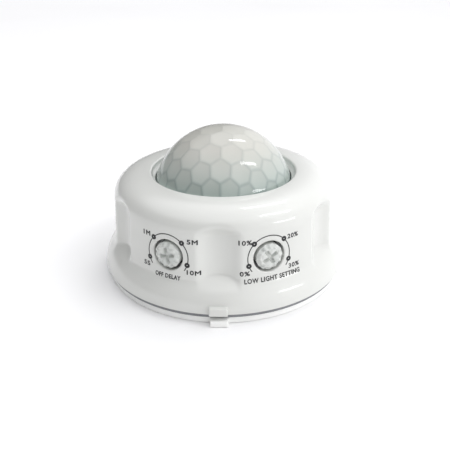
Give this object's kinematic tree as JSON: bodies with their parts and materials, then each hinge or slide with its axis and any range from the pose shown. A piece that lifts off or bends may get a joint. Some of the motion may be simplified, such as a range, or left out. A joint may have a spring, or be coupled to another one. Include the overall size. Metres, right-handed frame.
{
  "type": "motion sensor",
  "caption": "Round ceiling motion sensor with a domed faceted lens, a fluted twist-off head, two setting dials and a flat base.",
  "frame": {"origin": "centre of the base plate's flat underside, on the axis of the lens", "axes": "+Z out of the ceiling through the lens, -Y towards the front, where the two alignment tabs line up between the dials, +X to the right seen from the front"},
  "size_m": [0.086, 0.0876, 0.0512],
  "materials": {
    "white_housing": "satin-gloss moulded white polycarbonate",
    "lens": "milky translucent polyethylene with inner facets",
    "gasket": "matt grey silicone",
    "grommet": "matt grey silicone",
    "knob": "frosted clear polycarbonate",
    "black_plastic": "moulded black nylon",
    "circuit_board": "green solder mask on glass laminate",
    "brass": "stamped brass",
    "steel": "zinc-plated steel",
    "sensor_can": "nickel-plated steel can",
    "infrared_filter": "coated silicon window",
    "clear_epoxy": "clear cast epoxy",
    "ferrite": "matt sintered ferrite",
    "winding_tape": "yellow polyester tape",
    "film_box": "yellow moulded case",
    "capacitor_sleeve": "dark blue shrink sleeve"
  },
  "bodies": {
    "base": {"base_plate": "white_housing", "wire_grommet": "grommet", "contact_socket": "black_plastic", "line_clip": "brass", "neutral_clip": "brass", "dimming_clip": "brass"},
    "head": {"cover_gasket": "gasket", "chassis": "white_housing", "top_cover": "white_housing", "fresnel_lens": "lens", "lens_ring": "black_plastic", "power_board": "circuit_board", "sensor_board": "circuit_board", "line_blade": "brass", "neutral_blade": "brass", "dimming_blade": "brass", "board_spacer_1": "black_plastic", "board_spacer_2": "black_plastic", "board_spacer_3": "black_plastic", "board_screw_1": "steel", "board_screw_2": "steel", "board_screw_3": "steel", "cover_screw_1": "steel", "cover_screw_2": "steel", "cover_screw_3": "steel", "cover_screw_4": "steel", "pir_holder": "black_plastic", "pir_sensor": "sensor_can", "pir_window": "infrared_filter", "light_sensor": "clear_epoxy", "control_chip": "black_plastic", "transformer_core": "ferrite", "transformer_winding": "winding_tape", "bulk_capacitor": "capacitor_sleeve", "film_capacitor": "film_box", "input_choke": "ferrite", "input_fuse": "black_plastic", "time_potentiometer": "black_plastic", "dim_potentiometer": "black_plastic", "time_seal": "grommet", "dim_seal": "grommet"},
    "time_dial": {"time_knob": "knob"},
    "dim_dial": {"dim_knob": "knob"}
  },
  "joints": [
    {"name": "head_twist", "type": "hinge", "parent": "base", "child": "head", "pos_m": [0, 0, 0], "axis": [0, 0, 1], "range_deg": [0, 20]},
    {"name": "time_turn", "type": "hinge", "parent": "head", "child": "time_dial", "pos_m": [-0.01716, -0.03368, 0.0205], "axis": [-0.454, -0.891, 0], "range_deg": [-110, 110]},
    {"name": "dim_turn", "type": "hinge", "parent": "head", "child": "dim_dial", "pos_m": [0.01373, -0.03522, 0.0205], "axis": [0.3633, -0.9317, 0], "range_deg": [-110, 110]}
  ]
}
